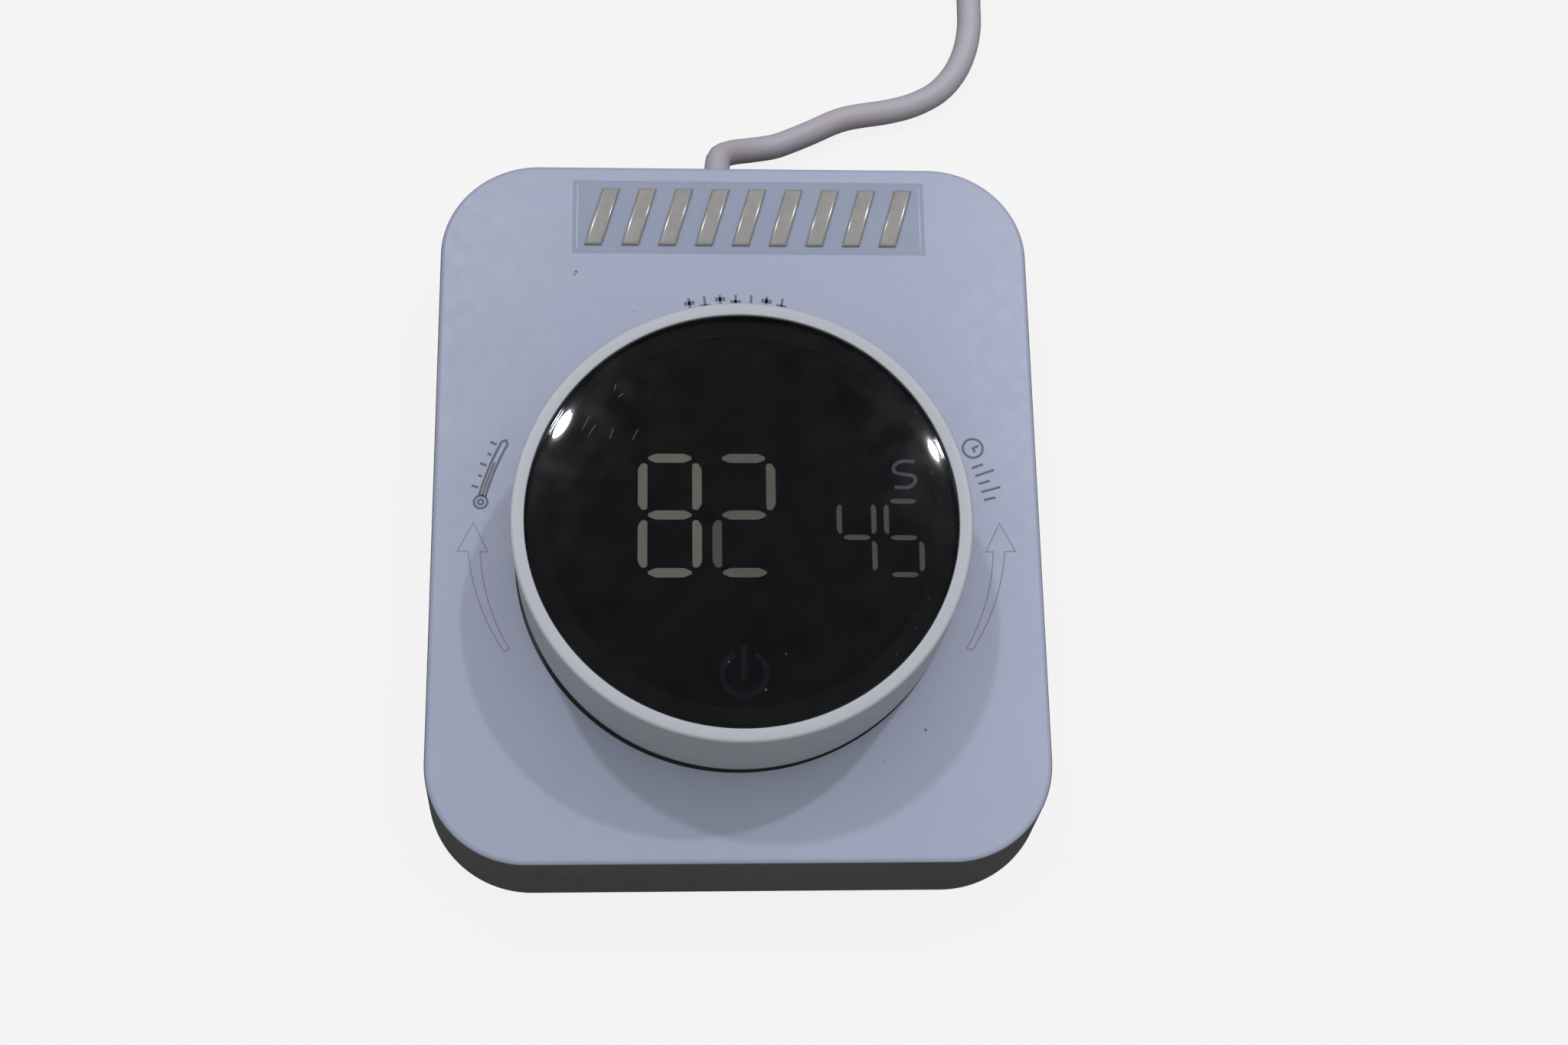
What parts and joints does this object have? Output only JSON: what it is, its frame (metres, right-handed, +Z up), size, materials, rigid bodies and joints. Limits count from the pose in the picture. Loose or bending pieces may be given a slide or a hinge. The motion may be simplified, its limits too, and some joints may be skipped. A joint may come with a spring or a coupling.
{
  "type": "tabletop temperature and time controller",
  "caption": "Flat tabletop controller with a large domed display knob that turns and pushes, a pale top over a dark case, and a free cord to a round connector.",
  "frame": {"origin": "middle of the footprint on the table, under the case", "axes": "+X to the right, +Y to the rear where the cord leaves, +Z up; the knob's axis is parallel to +Z, 10.55 mm in front of the origin"},
  "size_m": [0.1072, 0.2498, 0.0451],
  "materials": {
    "case_pale": "fine moulded texture",
    "case_dark": "fine moulded texture",
    "dial_white": "satin",
    "inner_plastic": "plain moulded",
    "black_plastic": "plain moulded",
    "lens_glass": "smoked black, polished",
    "display_film": "printed film with pale windows",
    "clear_film": "clear film",
    "silver_foil": "bright foil",
    "steel": "zinc plated",
    "spring_steel": "drawn wire",
    "circuit_board": "solder mask",
    "led_cream": "phosphor",
    "ivory_nylon": "plain moulded",
    "rubber_black": "matt",
    "cord_pvc": "smooth matt jacket",
    "core_wire": "coloured insulation",
    "connector_metal": "nickel",
    "contact_gold": "gold flash",
    "tie_fabric": "hook and loop"
  },
  "bodies": {
    "base": {"lower_casing": "case_dark", "top_casing": "case_pale", "case_screws": "steel", "rubber_feet": "rubber_black", "knob_guide": "black_plastic", "guide_screws": "steel", "main_board": "circuit_board", "board_screws": "steel", "controller_chip": "black_plastic", "buzzer": "black_plastic", "capacitor": "black_plastic", "regulator": "black_plastic", "tact_switch": "black_plastic", "return_spring": "spring_steel", "ribbon_socket": "ivory_nylon", "display_ribbon": "ivory_nylon", "cord_socket": "ivory_nylon", "cord_plug": "ivory_nylon", "cord_cores": "core_wire", "cord_clamp": "inner_plastic", "clamp_screws": "steel", "strain_relief": "cord_pvc", "badge_film": "clear_film", "badge_bars": "silver_foil", "cord_run": "cord_pvc", "cord_coil": "cord_pvc", "cord_tail": "cord_pvc", "cord_tie": "tie_fabric", "connector_grip": "black_plastic", "connector_shell": "connector_metal", "connector_pins": "contact_gold"},
    "head": {"head_carrier": "black_plastic", "stem_clip": "spring_steel", "switch_plunger": "black_plastic", "display_board": "circuit_board", "display_leds": "led_cream", "display_chip": "black_plastic", "display_socket": "ivory_nylon", "head_screws": "steel", "segment_frame": "black_plastic", "display_film": "display_film", "touch_spring": "spring_steel", "lens_adhesive": "black_plastic", "lens": "lens_glass", "encoder_body": "black_plastic", "retaining_ring": "spring_steel", "glide_ring": "ivory_nylon"},
    "dial": {"dial_ring": "dial_white", "gear_sleeve": "inner_plastic"},
    "encoder_shaft": {"encoder_pinion": "inner_plastic"}
  },
  "joints": [
    {"name": "knob_push", "type": "slide", "parent": "base", "child": "head", "axis": [0, 0, -1], "range_m": [0, 0.0006], "stiffness_N_per_m": 1500, "springref_m": -0.0015, "deforming": ["return_spring", "display_ribbon"]},
    {"name": "dial_turn", "type": "hinge", "parent": "head", "child": "dial", "pos_m": [0, -0.01055, 0.03], "axis": [0, 0, 1], "continuous": true},
    {"name": "encoder_turn", "type": "hinge", "parent": "head", "child": "encoder_shaft", "pos_m": [0.02494, 0.00385, 0.03], "axis": [0, 0, 1], "continuous": true}
  ],
  "couplings": [
    {"joint": "encoder_turn", "follows": "dial_turn", "ratio": 5.5}
  ]
}
